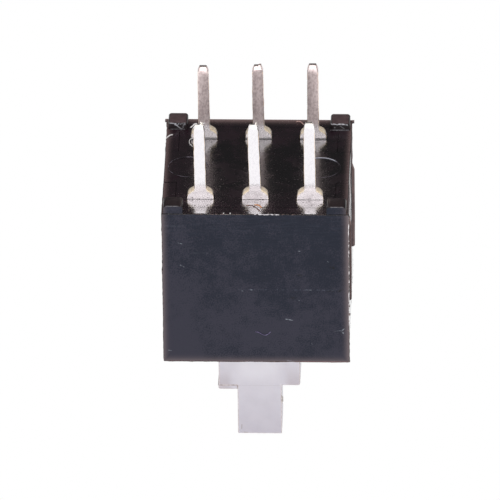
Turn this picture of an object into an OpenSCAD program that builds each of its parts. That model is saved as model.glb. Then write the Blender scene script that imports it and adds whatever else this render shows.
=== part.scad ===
// Latching push button switch: two poles, six straight terminals, 8.5 mm square family.
// The button points along +Z. z = 0 is the surface of the circuit board that the feet stand on,
// and the Z axis runs through the middle of the terminal pattern. The latch is on the -X side.

/* [Body] */
// Side of the square body
body_w = 8.5; // [8.4:0.1:9]
// Height of the cover, from its rim to the button face
body_h = 7.86; // [7.7:0.02:8.5]
// Height of the feet that hold the rim off the board
foot_h = 0.38; // [0.2:0.02:0.5]
// Thickness of the cover's side walls
wall = 0.6; // [0.5:0.02:0.62]
// Thickness of the cover's roof
roof = 0.75; // [0.6:0.05:0.8]
// Draft of the cover's outer walls, in degrees
draft = 0.1; // [0:0.05:0.4]

/* [Base] */
// Thickness of the base plate
plate_t = 1; // [1:0.02:1.04]
// Size of a foot along X
foot_x = 0.9; // [0.8:0.05:1.1]
// Size of a foot along Y
foot_y = 0.85; // [0.75:0.05:1]
// Diameter of the two round ejector marks on the underside
mark_d = 1.8; // [1.2:0.1:2]

/* [Terminals] */
// Distance between neighbouring terminals in a row
pitch = 2.5; // [2.45:0.01:2.54]
// Distance between the two rows
row_gap = 5.5; // [5.4:0.05:5.5]
// Thickness of the terminal strip
strip_t = 0.35; // [0.3:0.01:0.36]
// Width of a pin where it leaves its shoulder
pin_w = 0.54; // [0.4:0.02:0.6]
// Width of a pin just above its tip
pin_tip_w = 0.5; // [0.36:0.02:0.54]
// Length of a pin below the board's upper surface
pin_l = 3.5; // [2.5:0.05:4]
// Width of a terminal's shoulder
shoulder_w = 1.22; // [1.2:0.01:1.3]

/* [Plunger] */
// Width of the plunger's neck
neck_w = 3.74; // [3.4:0.02:3.8]
// Depth of the plunger's neck
neck_d = 2.02; // [2.02:0.02:2.2]
// Height of the lower shoulder above the button face
neck_h = 3.16; // [2.8:0.02:3.2]
// How much higher the lip makes the other shoulder
shoulder_step = 0.21; // [0:0.01:0.3]
// Side of the square post that carries a cap
post_w = 2.02; // [1.8:0.02:2.02]
// Height of the post's tip above the button face
post_h = 5.75; // [5:0.01:6]
// Sideways play that the plunger has taken up in its opening
play = 0.04; // [0:0.01:0.1]

/* [Latch] */
// Full stroke of the plunger
stroke = 2.5; // [2:0.1:2.5]
// Diameter of the latch pin's wire
wire_d = 0.4; // [0.34:0.02:0.4]
// Swing of the latch pin to each side that the cam leaves room for, in degrees
swing = 20; // [18:1:20]
// Distance of each outer rib from the middle of its wall
rib_y = 2.42; // [2.3:0.02:2.6]
// How far the ribs stand out from the wall
rib_out = 0.11; // [0.05:0.01:0.2]

/* [Hidden] */

$fn = 48;
// Overlap of shapes that are joined or cut, room of a snug fit, and room of a sliding fit
eps = 0.02;
fit = 0.02;
slide = 0.05;

// Levels, from the board upwards
rim_z = foot_h;
plate_z = rim_z + plate_t;
top_z = rim_z + body_h;
ceiling_z = top_z - roof;

// Plan sizes: half the body, and half the room between its walls
half = body_w / 2;
room = half - wall;

// Cover: chamfer around the roof, and the flash along the far edge of the rim
roof_chamfer = 0.06;
flash_out = 0.09;
flash_proud = 0.07;
flash_deep = 0.12;
flash_h = 0.06;
// Rails between which the carriage slides
rail_y = [1.58, 1.93];
rail_lift = 0.07;

// Base: side lugs that reach through the rim, and the ejector marks
lug_y = 1.4;
lug_z = rim_z + 0.8;
mark_x = [3.15, -2.9];
mark_deep = 0.03;
// Room around a terminal's shoulder where it passes through the plate
slot_side = 0.02;
slot_front = 0.05;
foot_inset = [0.08, 0.02];
foot_r = 0.14;

// Terminal strips: inner face, outer face, and the heights at which the blades start and end
row_y = row_gap / 2;
blade_in = row_y - strip_t / 2;
blade_out = row_y + strip_t / 2;
carrier_x = 3.3;
carrier_in = blade_in + 0.025;
carrier_top = ceiling_z - 0.8;
carrier_lead = 0.3;
common_top = carrier_top - 0.45;
closed_from = 5.2;
closed_top = carrier_top - 0.3;
open_top = 4.75;
leg_w = 0.43;
// Shoulder's rounded corner and the fillet where the pin meets it
shoulder_r = 0.42;
shoulder_from = 0.29;
pin_fillet = 0.12;
// Coined tip of a pin: side facets, and facets of the front and back faces
tip_side = [0.06, 0.28];
tip_face = [0.1, 0.2];

// Carriage: the part of the plunger that slides inside the cover
carriage_x = 5.2;
carriage_y = 3.9;
carriage_top = ceiling_z - 0.03;
carriage_bottom = plate_z + 0.12 + stroke;
bore_r = 1.2;
bore_top = carriage_top - 0.5;
neck_hole = [neck_w + 0.24, neck_d + 0.16];
neck_round = 0.1;
lip_proud = 0.02;
hollow_x = 1.75;
hollow_y = 1.1;
hollow_roof = 0.6;

// Moving contacts
sheet = 0.12;
contact_z = 5.75;
contact_y = 1.68;
bow_r = blade_in - 0.03 - contact_y;
tail = 0.3;
bar_x = 2.36;
finger_x = 2.08;
finger_w = 0.56;
pocket_side = 0.06;

// Latch pin and heart-shaped cam. Cam sizes are measured from the pin's resting place
wire_r = wire_d / 2;
pivot_z = rim_z + 0.52;
pin_x = -half + 1.15;
bend_r = 0.35;
cam_z = carriage_bottom + 0.5;
cam_x = -1.9;
cam_start = wire_r + 0.07;
cam_w = (cam_z - pivot_z) * sin(swing) + wire_r + 0.17;
cam_low = 2.3;
cam_top = 2.65;
cam_corner = 0.1;
lobe_r = 0.22;
lobe = [0.3, 1.62];
heart_point = 0.56;
seat_z = 1.52;
// Pocket of the base in which the pin's lower arm turns
pivot_y = 0.45;
pivot_room = 0.1;
pivot_deep = 0.28;

// Latch leaf, which lies in a shallow pocket of the cover's wall between the two ribs
rib_w = 0.4;
rib_r = 0.11;
rib_slope = 0.45;
rib_from = rim_z + 1.15;
rib_to = rim_z + 5.49;
leaf_t = 0.12;
leaf_room = 0.04;
leaf_x = -half + 0.01;
leaf_y = rib_y - rib_w / 2 - leaf_room;
leaf_from = rib_from + 0.3;
leaf_to = rib_to - 0.12;
// Tongue of the leaf, and the window in the wall that it reaches through
tongue_w = 1;
tongue_top = 5.2;
tongue_bend = 3.3;
tongue_end = 2.7;
slit = 0.12;
window_y = tongue_w / 2 + slit;
window_z = [2.35, 5.4];
// Tabs that hold the leaf in the wall
tab_y = 1.3;
tab_z = [3.2, 4.4];

// Return spring, and the post of the base that centres it
coil_r = 0.94;
coil_wire = 0.11;
coil_turns = 8;
coil_sides = 8;
coil_steps = 20;
coil_gap = 0.01;
spring_post = [0.7, 0.45];
spring_post_h = 0.58;
spring_post_tip = 0.25;

// Bends of the six pins as handling left them, in degrees: front row, then back row
pin_lean = [[0.6, 1.3, 0.3], [0.3, 0.4, 0]];
// How much each pin falls short of its full length, as pressed in
pin_short = [[0.02, 0, -0.1], [0.13, 0.07, 0]];

// A block from its ranges along X, Y and Z
module block(x, y, z) {
    translate([x[0], y[0], z[0]]) cube([x[1] - x[0], y[1] - y[0], z[1] - z[0]]);
}

// The same thing on both sides of the plane x = 0 or y = 0
module both_x() { children(); mirror([1, 0, 0]) children(); }
module both_y() { children(); mirror([0, 1, 0]) children(); }

// A flat shape drawn in X and Z, given a thickness from y0 to y1
module upright(y0, y1) {
    translate([0, y1, 0]) rotate([90, 0, 0]) linear_extrude(y1 - y0) children();
}

// A flat shape drawn in Y and Z, given a thickness from x0 to x1
module sideways(x0, x1) {
    translate([x0, 0, 0]) rotate([90, 0, 90]) linear_extrude(x1 - x0) children();
}

// ---- Cover: a box open at the rim, with an opening in its roof for the neck ----

// Wedges that lean the outer walls inwards towards the roof
module draft_cuts() {
    for (turn = [0:90:270]) rotate(turn) translate([half, -body_w, rim_z])
        rotate([0, -draft, 0]) cube([1, body_w * 2, body_h * 2]);
}

// Chamfers around the roof's outer edge
module roof_chamfers() {
    for (turn = [0:90:270]) rotate(turn) translate([half, 0, top_z])
        rotate([0, 45, 0]) cube([roof_chamfer, body_w * 2, roof_chamfer], center = true);
}

// The two ribs that guide the latch leaf, with their upper corners sloped and lower corners round
module leaf_rib() {
    root = half - 0.1;
    out = half + rib_out;
    mirror([1, 0, 0]) upright(rib_y - rib_w / 2, rib_y + rib_w / 2) {
        polygon([[root, rib_from], [half, rib_from], [out, rib_from + rib_slope],
            [out, rib_to - rib_r], [out - rib_r, rib_to], [root, rib_to]]);
        translate([out - rib_r, rib_to - rib_r]) circle(rib_r);
    }
}

// Rails inside the side walls, between which the carriage slides
module rails() {
    both_x() both_y()
        block([carriage_x / 2 + slide, room + eps], rail_y, [plate_z + rail_lift, ceiling_z + eps]);
}

// Notches in the rim that take the base's side lugs
module lug_notches() {
    both_x() block([room - eps, half + eps], [-lug_y - fit, lug_y + fit], [rim_z - eps, lug_z + fit]);
}

// Pocket, window and tab slots of the latch leaf
module leaf_seat() {
    across = [-half - eps, -room + eps];
    block([-half - eps, leaf_x + leaf_t + 0.005], [-leaf_y - leaf_room, leaf_y + leaf_room],
        [leaf_from - leaf_room, leaf_to + leaf_room]);
    block(across, [-window_y, window_y], window_z);
    both_y() block(across, [tab_y - leaf_t / 2 - fit, tab_y + leaf_t / 2 + fit],
        [tab_z[0] - fit, tab_z[1] + fit]);
}

module cover() {
    color("#2c2d33") {
        difference() {
            union() {
                difference() {
                    block([-half, half], [-half, half], [rim_z, top_z]);
                    draft_cuts();
                    roof_chamfers();
                }
                both_y() leaf_rib();
                block([-half - flash_out, half + flash_out], [half - flash_deep, half + flash_proud],
                    [rim_z, rim_z + flash_h]);
            }
            difference() {
                block([-room, room], [-room, room], [rim_z - eps, ceiling_z]);
                rails();
            }
            translate([0, 0, top_z - roof / 2])
                cube([neck_hole.x, neck_hole.y, roof + 2 * eps], center = true);
            lug_notches();
            leaf_seat();
        }
    }
}

// ---- Base: plate, feet, side lugs and the walls that carry the fixed contacts ----

// The three blades of a pole above the rim, seen from the front and grown by some room.
// The middle one is common. The closed one is a narrow leg with a broad head
module blades(kinds, grow) {
    low = rim_z - grow;
    left = -shoulder_w / 2 - grow;
    for (kind = kinds) translate([kind == "common" ? 0 : kind == "open" ? pitch : -pitch, 0]) {
        top = kind == "common" ? common_top : kind == "open" ? open_top : closed_top;
        width = kind == "closed" ? leg_w : shoulder_w;
        translate([left, low]) square([width + 2 * grow, top + grow - low]);
        if (kind == "closed") translate([left, closed_from - grow])
            square([shoulder_w + 2 * grow, top - closed_from + 2 * grow]);
        translate([left, low]) square([shoulder_w + 2 * grow, plate_t + grow]);
    }
}

// Room for the terminals of a pole in the plate and in the carrier wall
module terminal_slots() {
    slot_w = shoulder_w + 2 * slot_side;
    upright(blade_in - slot_front, blade_out + slot_front) for (x = [-pitch, 0, pitch])
        translate([x - slot_w / 2, rim_z - eps]) square([slot_w, plate_t + 2 * eps]);
    upright(blade_in - eps, blade_out + 0.005) blades(["common", "closed", "open"], fit);
}

// One wall that carries the fixed contacts of a pole, with a sloped lead-in along its upper edge
module carrier() {
    out = room - slide;
    sideways(-carrier_x, carrier_x) polygon([[carrier_in, plate_z - eps],
        [carrier_in, carrier_top - carrier_lead], [carrier_in + carrier_lead, carrier_top],
        [out, carrier_top], [out, plate_z - eps]]);
}

// A foot stands over the cover's rim at a corner, with round lower corners
module foot() {
    x0 = half - foot_x - foot_inset.x;
    y1 = half - foot_inset.y;
    upright(y1 - foot_y, y1) {
        translate([x0, foot_r]) square([foot_x, foot_h - foot_r]);
        translate([x0 + foot_r, 0]) square([foot_x - 2 * foot_r, foot_h]);
        for (x = [x0 + foot_r, x0 + foot_x - foot_r]) translate([x, foot_r]) circle(foot_r);
    }
}

// Post that centres the return spring, with a cone for its tip
module spring_centre() {
    root_r = spring_post[0];
    cylinder(r = root_r, h = spring_post_h + eps);
    translate([0, 0, spring_post_h]) cylinder(r1 = root_r, r2 = spring_post[1], h = spring_post_tip);
}

// Pocket and bearing hole for the lower arm of the latch pin
module pivot_pocket() {
    block([pin_x - wire_r - pivot_room, pin_x + bend_r + 0.03], [-pivot_y, pivot_y],
        [pivot_z - pivot_deep, plate_z + eps]);
    translate([pin_x, 0, pivot_z]) rotate([0, 90, 0]) cylinder(r = wire_r + 0.03, h = 1.5);
}

module base() {
    color("#232227") difference() {
        union() {
            block([-room + fit, room - fit], [-room + fit, room - fit], [rim_z, plate_z]);
            both_x() block([room - 0.1, half - 0.01], [-lug_y, lug_y], [rim_z, lug_z]);
            both_x() both_y() foot();
            both_y() carrier();
            translate([0, 0, plate_z - eps]) spring_centre();
        }
        both_y() terminal_slots();
        for (x = mark_x) translate([x, 0, rim_z - eps]) cylinder(d = mark_d, h = mark_deep + eps);
        pivot_pocket();
    }
}

// ---- Terminals: stamped strips, each one pin, shoulder and inner blade ----

// Pin and shoulder seen from the front, below the level of the rim
module pin_outline(long, lean) {
    corner_x = shoulder_w / 2 - shoulder_r;
    fillet_x = pin_w / 2 + pin_fillet;
    fillet_z = shoulder_from - sqrt(pow(shoulder_r + pin_fillet, 2) - pow(fillet_x - corner_x, 2));
    tip = pin_tip_w / 2;
    rotate(lean) polygon([[-pin_w / 2, 0], [-tip, tip_side[1] - long], [tip_side[0] - tip, -long],
        [tip - tip_side[0], -long], [tip, tip_side[1] - long], [pin_w / 2, 0]]);
    difference() {
        translate([-fillet_x, fillet_z]) square([2 * fillet_x, shoulder_from - fillet_z]);
        for (side = [-1, 1]) translate([side * fillet_x, fillet_z]) circle(pin_fillet);
    }
    intersection() {
        for (side = [-1, 1]) translate([side * corner_x, shoulder_from]) circle(shoulder_r);
        translate([-shoulder_w / 2, -shoulder_r]) square([shoulder_w, shoulder_r + rim_z]);
    }
    translate([-shoulder_w / 2, shoulder_from]) square([shoulder_w, rim_z + eps - shoulder_from]);
}

// Wedges that thin a pin's end from the front and the back
module tip_wedges(long) {
    deep = strip_t / 2;
    both_y() sideways(-pin_w, pin_w) polygon([[deep - tip_face[0], -long],
        [deep, tip_face[1] - long], [deep + eps, tip_face[1] - long], [deep + eps, -long - eps],
        [deep - tip_face[0], -long - eps]]);
}

// kind is "common", "closed" or "open"; row is -1 for the front and 1 for the back
module terminal(kind, row) {
    place = kind == "common" ? 0 : kind == "open" ? 1 : -1;
    seat = [row > 0 ? 1 : 0, 1 - place];
    long = pin_l - pin_short[seat[0]][seat[1]];
    color("#c9c5c0") difference() {
        upright(row * row_y - strip_t / 2, row * row_y + strip_t / 2) {
            translate([place * pitch, 0]) pin_outline(long, pin_lean[seat[0]][seat[1]]);
            blades([kind], 0);
        }
        translate([place * pitch, row * row_y, 0]) tip_wedges(long);
    }
}

// ---- Plunger: cap post, neck and the carriage with its heart cam ----

// The island that the pin runs round, with the seat that holds the button down
module heart_island() {
    difference() {
        union() {
            for (side = [-1, 1]) translate([side * lobe.x, lobe.y]) circle(lobe_r);
            polygon([[0, heart_point], [lobe.x + lobe_r - 0.02, lobe.y - 0.07],
                [lobe.x, lobe.y], [-lobe.x, lobe.y], [-lobe.x - lobe_r + 0.02, lobe.y - 0.07]]);
        }
        translate([0, seat_z]) circle(wire_r + 0.04);
        translate([-wire_r + 0.02, seat_z]) square([2 * wire_r - 0.04, 1]);
    }
}

module heart_groove() {
    mouth = cam_start + 0.05;
    sideways(-carriage_x / 2 - eps, cam_x) translate([0, cam_z]) difference() {
        union() {
            circle(cam_start);
            polygon([[-mouth, 0], [mouth, 0], [cam_w, cam_low], [cam_w - cam_corner, cam_top],
                [-cam_w + cam_corner, cam_top], [-cam_w, cam_low]]);
        }
        heart_island();
    }
}

// Room for a moving contact, with a lip above and below that keeps it in
module contact_pocket() {
    width = [-bar_x - pocket_side, bar_x + pocket_side];
    floor_y = contact_y - sheet / 2 - 0.01;
    deep = bow_r + tail + slide;
    block(width, [floor_y, contact_y + sheet / 2 + fit], [contact_z - deep, contact_z + deep]);
    block(width, [floor_y, carriage_y / 2 + eps], [contact_z - bow_r - 0.08, contact_z + bow_r + 0.08]);
}

// Neck seen from the front, with a round edge on each shoulder
module neck_outline() {
    low = top_z + neck_h;
    side = neck_w / 2;
    foot_z = carriage_top - eps;
    translate([-side, foot_z]) square([neck_w, low - neck_round - foot_z]);
    translate([-side + neck_round, foot_z]) square([neck_w - neck_round, low - foot_z]);
    translate([-side + neck_round, low - neck_round]) circle(neck_round);
}

// The lip that makes the +X shoulder the higher one. It stands out a little on three sides
module lip() {
    low = top_z + neck_h;
    high = low + shoulder_step;
    side = neck_w / 2 + lip_proud;
    half_d = neck_d / 2 + lip_proud;
    upright(-half_d, half_d) {
        translate([post_w / 2, low]) square([side - post_w / 2, high - neck_round - low]);
        translate([post_w / 2, low]) square([side - neck_round - post_w / 2, high - low]);
        translate([side - neck_round, high - neck_round]) circle(neck_round);
    }
}

module plunger() {
    post_from = top_z + neck_h - 0.5;
    color("#dddbe2") difference() {
        union() {
            block([-carriage_x / 2, carriage_x / 2], [-carriage_y / 2, carriage_y / 2],
                [carriage_bottom, carriage_top]);
            translate([-play, 0, 0]) {
                upright(-neck_d / 2, neck_d / 2) neck_outline();
                lip();
                translate([-post_w / 2, -post_w / 2, post_from])
                    cube([post_w, post_w, top_z + post_h - post_from]);
            }
        }
        translate([0, 0, carriage_bottom - eps]) cylinder(r = bore_r, h = bore_top - carriage_bottom + eps);
        heart_groove();
        both_y() contact_pocket();
        // Hollow along the side away from the latch, which keeps the walls even
        block([hollow_x, carriage_x / 2 + eps], [-hollow_y, hollow_y],
            [carriage_bottom - eps, carriage_top - hollow_roof]);
    }
}

// ---- Moving contacts: three bowed fingers between two bars, cut from one sheet ----

// A finger seen from the side, bowed towards the fixed contacts
module finger_outline() {
    difference() {
        translate([contact_y, contact_z]) circle(bow_r);
        translate([contact_y, contact_z]) circle(bow_r - sheet);
        translate([contact_y - 2 * bow_r, contact_z - 2 * bow_r]) square([2 * bow_r, 4 * bow_r]);
    }
}

module bar_outline() {
    bar_h = tail + 0.05;
    for (z = [contact_z + bow_r - sheet, contact_z - bow_r + sheet - bar_h])
        translate([contact_y - sheet / 2, z]) square([sheet, bar_h]);
}

module moving_contact() {
    color("#d8c9a8") {
        for (x = [-finger_x, 0, finger_x]) sideways(x - finger_w / 2, x + finger_w / 2) finger_outline();
        sideways(-bar_x, bar_x) bar_outline();
    }
}

module contact_back() { moving_contact(); }
module contact_front() { mirror([0, 1, 0]) moving_contact(); }

// ---- Return spring: a compression coil with its ends laid flat ----

// Rise of the wire after a share t of its turns, flat over the first and last turn
function rise(t) = t < 1 / coil_turns ? 0 : t > 1 - 1 / coil_turns ? 1
    : (t * coil_turns - 1) / (coil_turns - 2);

module return_spring() {
    bottom = plate_z + coil_wire + coil_gap;
    travel = bore_top - plate_z - 2 * (coil_wire + coil_gap);
    flat = 2 * coil_wire + coil_gap;
    rings = coil_turns * coil_steps;
    points = [for (i = [0:rings], k = [0:coil_sides - 1])
        let (turn = 360 * i / coil_steps, side = 360 * k / coil_sides,
            lead = min(i / coil_steps, 1) * flat + min(max(i / coil_steps - coil_turns + 1, 0), 1) * flat,
            z = bottom + rise(i / rings) * (travel - 2 * flat) + lead,
            r = coil_r + coil_wire * cos(side))
        [r * cos(turn), r * sin(turn), z + coil_wire * sin(side)]];
    skin = [for (i = [0:rings - 1], k = [0:coil_sides - 1])
        let (a = i * coil_sides, b = a + coil_sides, next = (k + 1) % coil_sides)
        [a + k, a + next, b + next, b + k]];
    start = [for (k = [coil_sides - 1:-1:0]) k];
    end = [for (k = [0:coil_sides - 1]) rings * coil_sides + k];
    color("#b9b9bb") polyhedron(points, concat([start], skin, [end]), convexity = 10);
}

// ---- Latch pin: round wire bent into a staple ----

module wire_bend(z, up) {
    translate([pin_x + bend_r, 0, z + up * bend_r]) rotate([90, 0, 0]) rotate(up > 0 ? 180 : 90)
        rotate_extrude(angle = 90) translate([bend_r, 0]) circle(wire_r, $fn = 32);
}

module latch_pin() {
    tip_x = cam_x - 0.08 - wire_r;
    color("#aeb0b4") {
        translate([pin_x + bend_r, 0, pivot_z]) rotate([0, 90, 0]) cylinder(r = wire_r, h = 1);
        wire_bend(pivot_z, 1);
        translate([pin_x, 0, pivot_z + bend_r]) cylinder(r = wire_r, h = cam_z - pivot_z - 2 * bend_r);
        wire_bend(cam_z, -1);
        translate([pin_x + bend_r, 0, cam_z]) rotate([0, 90, 0])
            cylinder(r = wire_r, h = tip_x - pin_x - bend_r);
        translate([tip_x, 0, cam_z]) sphere(wire_r);
    }
}

// ---- Latch leaf: spring plate whose tongue presses the pin into the cam ----

module latch_leaf() {
    tongue_x = pin_x - wire_r - 0.02 - leaf_t;
    color("#cfcfd1") {
        difference() {
            block([leaf_x, leaf_x + leaf_t], [-leaf_y, leaf_y], [leaf_from, leaf_to]);
            block([leaf_x - eps, leaf_x + leaf_t + eps], [-window_y, window_y],
                [tongue_end - 2 * slit, tongue_top]);
        }
        upright(-tongue_w / 2, tongue_w / 2) polygon([[leaf_x, tongue_top + 0.05],
            [leaf_x, tongue_top - 0.1], [tongue_x, tongue_bend], [tongue_x, tongue_end],
            [tongue_x + leaf_t, tongue_end], [tongue_x + leaf_t, tongue_bend + 0.05],
            [leaf_x + leaf_t, tongue_top - 0.05], [leaf_x + leaf_t, tongue_top + 0.05]]);
        both_y() block([leaf_x, -room + 0.15], [tab_y - leaf_t / 2, tab_y + leaf_t / 2], tab_z);
    }
}

cover();
base();
terminal("common", -1);  // terminal_common_front
terminal("closed", -1);  // terminal_closed_front
terminal("open", -1);  // terminal_open_front
terminal("common", 1);  // terminal_common_back
terminal("closed", 1);  // terminal_closed_back
terminal("open", 1);  // terminal_open_back
plunger();
contact_front();
contact_back();
return_spring();
latch_pin();
latch_leaf();
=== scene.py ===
import math

import bmesh
import bpy
from mathutils import Matrix, Vector, noise


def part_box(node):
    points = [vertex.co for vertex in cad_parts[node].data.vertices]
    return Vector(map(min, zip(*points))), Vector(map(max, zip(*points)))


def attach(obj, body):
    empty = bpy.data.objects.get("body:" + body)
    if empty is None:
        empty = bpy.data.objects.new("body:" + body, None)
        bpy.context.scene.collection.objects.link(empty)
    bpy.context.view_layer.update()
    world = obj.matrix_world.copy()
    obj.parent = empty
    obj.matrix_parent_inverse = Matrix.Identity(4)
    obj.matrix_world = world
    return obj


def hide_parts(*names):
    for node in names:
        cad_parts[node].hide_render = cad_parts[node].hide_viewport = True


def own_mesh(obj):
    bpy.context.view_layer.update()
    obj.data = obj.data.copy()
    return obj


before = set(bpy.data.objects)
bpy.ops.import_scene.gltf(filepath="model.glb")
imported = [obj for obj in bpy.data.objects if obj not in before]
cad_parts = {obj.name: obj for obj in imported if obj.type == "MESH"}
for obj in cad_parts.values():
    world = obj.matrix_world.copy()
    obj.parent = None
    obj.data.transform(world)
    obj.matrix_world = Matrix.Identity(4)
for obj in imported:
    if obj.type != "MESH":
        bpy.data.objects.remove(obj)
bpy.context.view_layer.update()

# A latching push button switch for a circuit board. Sizes below are in millimetres, and mm() turns
# them into the scene's metres. +Z points towards the button, and z = 0 is the board's surface.

MM = 0.001
# Without a seed of its own, the noise that roughens edges would start from the clock
noise.seed_set(1)

# Places that the pieces share, read from the frame
cover_low, cover_high = [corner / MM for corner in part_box("cover")]
pin_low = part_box("terminal_common_front")[0].z / MM
RIM_Z = cover_low.z
TOP_Z = cover_high.z
# Half the body's width, and the pitch of the terminals
HALF = 4.25
PITCH = 2.5
# Radius and middles of the two ejector marks
RING_R = 0.9
RING_X = (3.15, -2.9)
# The sides of the front and back slots, which close up on the pins and gape
FRONT_SLOT_Y, BACK_SLOT_Y = -2.975, 2.525
# How far in from its edges a wall is painted paler, as a painted glow, and how far down from the
# roof
GLOW_IN, GLOW_DOWN = 0.46, 0.55
# Width of the bevel along a moulded edge, and the margin within which a vertex belongs to it
EDGE_W = 0.035
BY_EDGE = 0.06
# How close a middle or a vertex lies to a plane that it is in
ON_PLANE = 0.01


def mm(*values):
    return Vector([v * MM for v in values])


def linear(code):
    """The shader's colour for an sRGB code such as #8090a0."""
    parts = [int(code[i:i + 2], 16) / 255 for i in (1, 3, 5)]
    return (*[c / 12.92 if c <= 0.04045 else ((c + 0.055) / 1.055) ** 2.4 for c in parts], 1)


# ---- Nodes of materials ----

# The kinds of node that patterns use most, each with its mode: EASE takes a value, the two ends of
# its range and what they become, and MIX a share and two colours
EASE, MIX = "MapRange SMOOTHSTEP", "Mix RGBA"
PLUS, MINUS, TIMES = "Math ADD", "Math SUBTRACT", "Math MULTIPLY"
LEAST, MOST, ABS = "Math MINIMUM", "Math MAXIMUM", "Math ABSOLUTE"
# The setting that holds the mode of each kind
MODE = {"Math": "operation", "VectorMath": "operation", "Mix": "data_type",
        "MapRange": "interpolation_type"}


def connect(tree, socket, value):
    """Gives an input a value, an sRGB code, an output, or a node, which means its first output."""
    if isinstance(value, bpy.types.Node):
        value = next(output for output in value.outputs if output.enabled)
    if isinstance(value, bpy.types.NodeSocket):
        tree.links.new(value, socket)
    else:
        socket.default_value = linear(value) if isinstance(value, str) else value


def put(tree, kind, *values, **named):
    """Adds one node. values fill the inputs that its mode uses in turn, and named ones by name."""
    kind, _, mode = kind.partition(" ")
    node = tree.nodes.new("ShaderNode" + kind)
    if mode:
        setattr(node, MODE[kind], mode)
    for socket, value in zip([s for s in node.inputs if s.enabled], values):
        connect(tree, socket, value)
    for name, value in named.items():
        connect(tree, node.inputs[name], value)
    return node


def between(tree, value, low, high, soft):
    """1 where a coordinate lies between two places in millimetres, with soft edges."""
    into = put(tree, EASE, value, (low - soft) * MM, (low + soft) * MM)
    out_of = put(tree, EASE, value, (high - soft) * MM, (high + soft) * MM, 1.0, 0.0)
    return put(tree, TIMES, into, out_of)


def rising(tree, value, start, end):
    """Rises from 0 to 1 between two places in millimetres, slowly and then fast."""
    steepness = 3.0
    return put(tree, "Math POWER", put(tree, "MapRange", value, start * MM, end * MM), steepness)


def grain(tree, place, size, stretch=(1, 1, 1), detail=3.0, roughness=0.55):
    """Noise whose lumps are size millimetres across, drawn out along the axes by stretch."""
    spot = put(tree, "Mapping", Vector=place, Scale=[1 / (size * s * MM) for s in stretch])
    return put(tree, "TexNoise", spot, 1.0, detail, roughness)


def specks(tree, place, size, gap):
    """Small spots of up to size millimetres, in cells that are gap millimetres across."""
    spot = put(tree, "Mapping", Vector=place, Scale=[1 / (gap * MM)] * 3)
    cell = put(tree, "TexVoronoi", spot, 1.0)
    reach = put(tree, TIMES, put(tree, "SeparateColor", cell.outputs["Color"]), size / gap)
    near = put(tree, MINUS, reach, cell)
    soft_rim = 0.5 * size / gap
    return put(tree, EASE, near, 0.0, soft_rim)


def relief(tree, shader, *layers):
    """Bump from layers of (height, real depth in millimetres)."""
    normal = {}
    for height, depth in layers:
        normal = {"Normal": put(tree, "Bump", 1.0, depth * MM, Height=height, **normal)}
    connect(tree, shader.inputs["Normal"], normal["Normal"])


def begin(name, **values):
    """A material with its shader's plain values, its node tree, and the place its patterns read."""
    material = bpy.data.materials.new(name)
    material.use_nodes = True
    tree = material.node_tree
    shader = tree.nodes["Principled BSDF"]
    for socket, value in values.items():
        connect(tree, shader.inputs[socket.replace("_", " ")], value)
    return material, tree, shader, put(tree, "TexCoord").outputs["Object"]


def stroke(tree, place, start, end, width):
    """1 along a line between two places in millimetres, as a scratch or a scuff lies."""
    start, way = mm(*start), mm(*end) - mm(*start)
    here = put(tree, "VectorMath SUBTRACT", place, start)
    along = put(tree, "Clamp", put(tree, "VectorMath DOT_PRODUCT", here, way / way.length_squared))
    nearest = put(tree, "VectorMath SCALE", way, along)
    gap = put(tree, "VectorMath DISTANCE", here, nearest)
    core, rim = 0.2 * width * MM, 0.6 * width * MM
    return put(tree, EASE, gap, core, rim, 1.0, 0.0)


def marks(tree, place, flat, lines):
    """Several strokes on one flat face. flat drops the axis that the face looks along."""
    on_face = put(tree, "VectorMath MULTIPLY", place, flat)
    most = 0.0
    for start, end, width, strength in lines:
        line = put(tree, TIMES, stroke(tree, on_face, start, end, width), strength)
        most = put(tree, MOST, line, most)
    return most


# Scratches, nicks and painted glints on the front wall, the glints as painted highlights: start,
# end, width and strength
FRONT_MARKS = [
    ((-3.60, 0, 6.56), (-3.93, 0, 6.52), 0.04, 0.22),
    ((-3.93, 0, 6.52), (-4.06, 0, 6.43), 0.06, 0.50),
    ((-3.91, 0, 6.54), (-4.01, 0, 6.66), 0.07, 0.50),
    ((-1.39, 0, 5.93), (-1.69, 0, 5.99), 0.06, 0.46),
    ((4.00, 0, 7.62), (3.86, 0, 7.65), 0.04, 0.37),
    ((3.50, 0, 1.92), (3.32, 0, 1.97), 0.04, 0.37),
    ((3.42, 0, 3.09), (3.24, 0, 3.19), 0.04, 0.37),
    ((2.82, 0, 2.45), (2.14, 0, 2.45), 0.03, 0.09),
    ((4.13, 0, 1.03), (3.26, 0, 1.03), 0.03, 0.12),
    ((-1.98, 0, 2.31), (-2.06, 0, 2.32), 0.05, 0.37),
    ((-3.30, 0, 2.84), (-3.36, 0, 2.90), 0.05, 0.37),
    ((-1.98, 0, 4.93), (-2.02, 0, 4.93), 0.04, 0.25),
    ((-2.55, 0, 7.22), (-2.59, 0, 7.27), 0.04, 0.31),
    ((0.60, 0, 4.44), (0.56, 0, 4.45), 0.05, 0.43),
    ((0.20, 0, 4.39), (0.15, 0, 4.39), 0.05, 0.37),
    ((-2.25, 0, 4.37), (-2.57, 0, 4.38), 0.04, 0.31),
    ((-1.42, 0, 8.13), (-1.69, 0, 8.16), 0.06, 0.43),
]
# Dull dark spots on the same wall
FRONT_DARK_SPOTS = [
    ((-3.46, 0, 3.15), (-3.58, 0, 3.19), 0.16, 0.8),
    ((-1.98, 0, 3.58), (-2.10, 0, 3.62), 0.12, 0.6),
    ((-1.65, 0, 4.80), (-1.85, 0, 4.80), 0.12, 0.6),
    ((-3.80, 0, 4.42), (-4.00, 0, 4.36), 0.14, 0.9),
    ((-3.30, 0, 4.44), (-3.55, 0, 4.42), 0.10, 0.6),
]


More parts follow.
